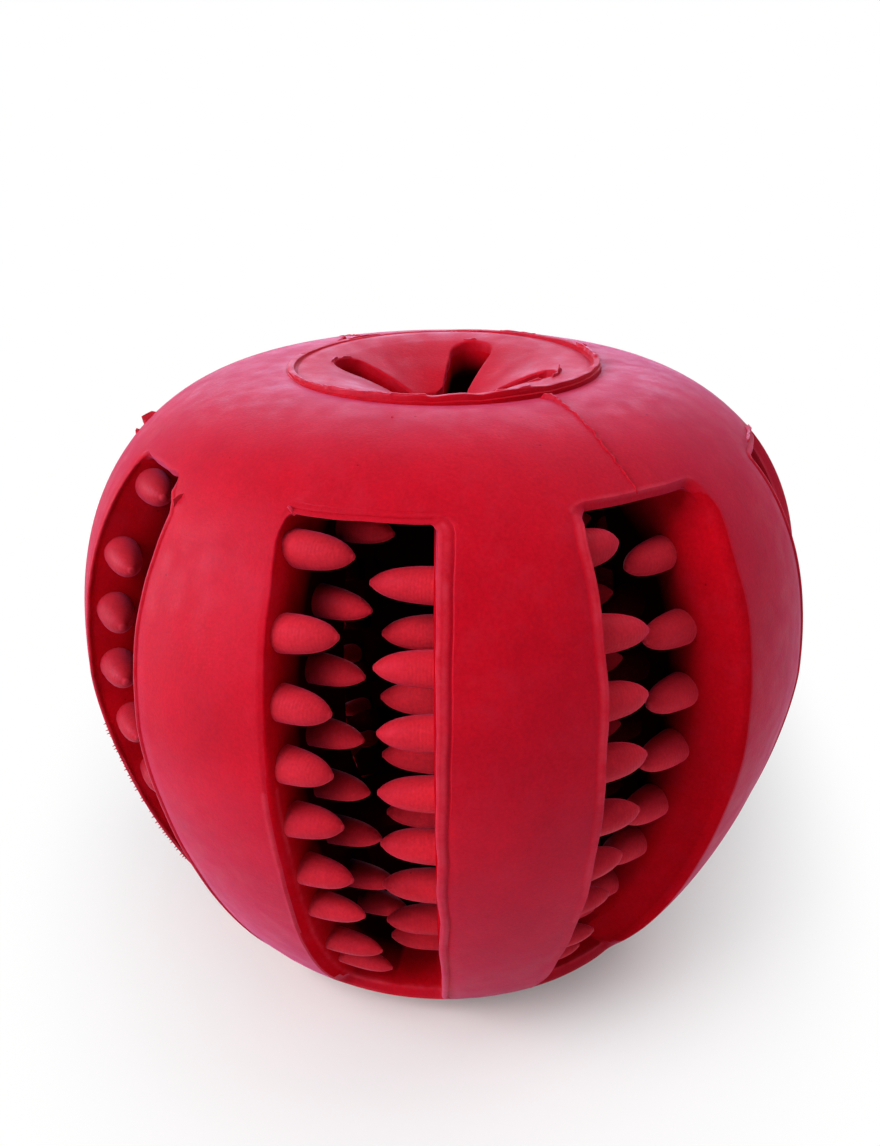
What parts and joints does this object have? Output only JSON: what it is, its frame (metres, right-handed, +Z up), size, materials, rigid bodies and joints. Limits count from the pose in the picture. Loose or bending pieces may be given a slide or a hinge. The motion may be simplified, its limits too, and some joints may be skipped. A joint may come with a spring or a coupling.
{
  "type": "chew toy",
  "caption": "Apple-shaped hollow rubber chew toy with toothed windows between upright bars and a slotted treat funnel in its top.",
  "frame": {"origin": "middle of the flat foot, on the surface that the toy stands on", "axes": "+Z up the apple's axis, from the foot to the funnel; -Y through the middle of one window"},
  "size_m": [0.0682, 0.0682, 0.0591],
  "materials": {
    "shell_rubber": "semi-matte moulded rubber",
    "bar_rubber": "semi-matte moulded rubber",
    "funnel_rubber": "semi-matte moulded rubber"
  },
  "bodies": {
    "shell": {"crown": "shell_rubber", "funnel_ring": "funnel_rubber", "base": "shell_rubber", "bar_1": "bar_rubber", "bar_2": "bar_rubber", "bar_3": "bar_rubber", "bar_4": "bar_rubber", "bar_5": "bar_rubber", "bar_6": "bar_rubber", "bar_7": "bar_rubber", "bar_8": "bar_rubber"},
    "petal_1": {"funnel_petal_1": "funnel_rubber"},
    "petal_2": {"funnel_petal_2": "funnel_rubber"},
    "petal_3": {"funnel_petal_3": "funnel_rubber"},
    "petal_4": {"funnel_petal_4": "funnel_rubber"}
  },
  "joints": [
    {"name": "petal_1_flex", "type": "hinge", "parent": "shell", "child": "petal_1", "pos_m": [0.0049, -0.00594, 0.0579], "axis": [-0.7716, -0.6361, 0], "range_deg": [-12, 30], "stiffness_Nm_per_rad": 0.03},
    {"name": "petal_2_flex", "type": "hinge", "parent": "shell", "child": "petal_2", "pos_m": [0.00594, 0.0049, 0.0579], "axis": [0.6361, -0.7716, 0], "range_deg": [-12, 30], "stiffness_Nm_per_rad": 0.03},
    {"name": "petal_3_flex", "type": "hinge", "parent": "shell", "child": "petal_3", "pos_m": [-0.0049, 0.00594, 0.0579], "axis": [0.7716, 0.6361, 0], "range_deg": [-12, 30], "stiffness_Nm_per_rad": 0.03},
    {"name": "petal_4_flex", "type": "hinge", "parent": "shell", "child": "petal_4", "pos_m": [-0.00594, -0.0049, 0.0579], "axis": [-0.6361, 0.7716, 0], "range_deg": [-12, 30], "stiffness_Nm_per_rad": 0.03}
  ]
}
